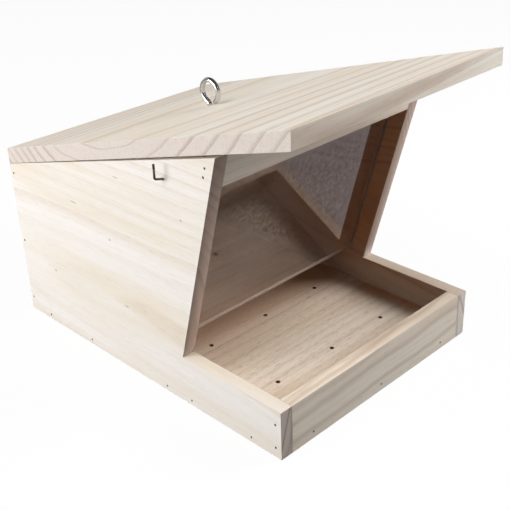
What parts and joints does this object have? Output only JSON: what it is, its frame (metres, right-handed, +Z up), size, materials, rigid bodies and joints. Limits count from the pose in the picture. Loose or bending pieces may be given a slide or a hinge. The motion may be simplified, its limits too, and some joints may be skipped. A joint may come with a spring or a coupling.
{
  "type": "silo bird feeder",
  "caption": "Pine silo bird feeder with a hinged sloping roof, a clear window that lifts in grooves, an open tray and a screw eye for hanging.",
  "frame": {"origin": "middle of the box's underside", "axes": "+Z up, -Y towards the open tray, +X to the right for someone who faces the tray"},
  "size_m": [0.257, 0.3564, 0.2682],
  "materials": {
    "pine_sides": "bare planed pine, very pale, with faint bands along the board",
    "pine_rails": "bare planed pine, a little darker and greyer",
    "pine_floor": "bare planed pine with short dark dashes in the grain",
    "pine_roof": "bare planed pine, warm, with grain across the feeder",
    "clear_pane": "clear acrylic sheet with polished faces",
    "bright_steel": "bright zinc-plated steel",
    "dark_wire": "dull dark wire",
    "nail_steel": "dull steel pins, set just below the wood",
    "hinge_steel": "plated sheet steel"
  },
  "bodies": {
    "box": {"left_side_panel": "pine_sides", "right_side_panel": "pine_sides", "front_rail": "pine_rails", "top_cross_rail": "pine_rails", "back_panel": "pine_rails", "floor_board": "pine_floor", "left_side_hook": "dark_wire", "right_side_hook": "dark_wire", "left_floor_nails": "nail_steel", "left_back_nails": "nail_steel", "left_front_rail_nails": "nail_steel", "left_cross_rail_nails": "nail_steel", "right_floor_nails": "nail_steel", "right_back_nails": "nail_steel", "right_front_rail_nails": "nail_steel", "right_cross_rail_nails": "nail_steel", "front_rail_floor_nails": "nail_steel", "back_panel_floor_nails": "nail_steel", "left_hinge_body_leaf": "hinge_steel", "right_hinge_body_leaf": "hinge_steel", "left_hinge_pin": "hinge_steel", "right_hinge_pin": "hinge_steel", "hinge_body_screws": "hinge_steel"},
    "roof": {"roof_board": "pine_roof", "roof_eye_screw": "bright_steel", "left_hinge_roof_leaf": "hinge_steel", "right_hinge_roof_leaf": "hinge_steel", "hinge_roof_screws": "hinge_steel"},
    "pane": {"window_pane": "clear_pane"}
  },
  "joints": [
    {"name": "roof_lid", "type": "hinge", "parent": "box", "child": "roof", "pos_m": [0, 0.1705, 0.14947], "axis": [-1, 0, 0], "range_deg": [0, 170]},
    {"name": "pane_lift", "type": "slide", "parent": "box", "child": "pane", "axis": [0, -0.2723, 0.9622], "range_m": [0, 0.0075]}
  ]
}
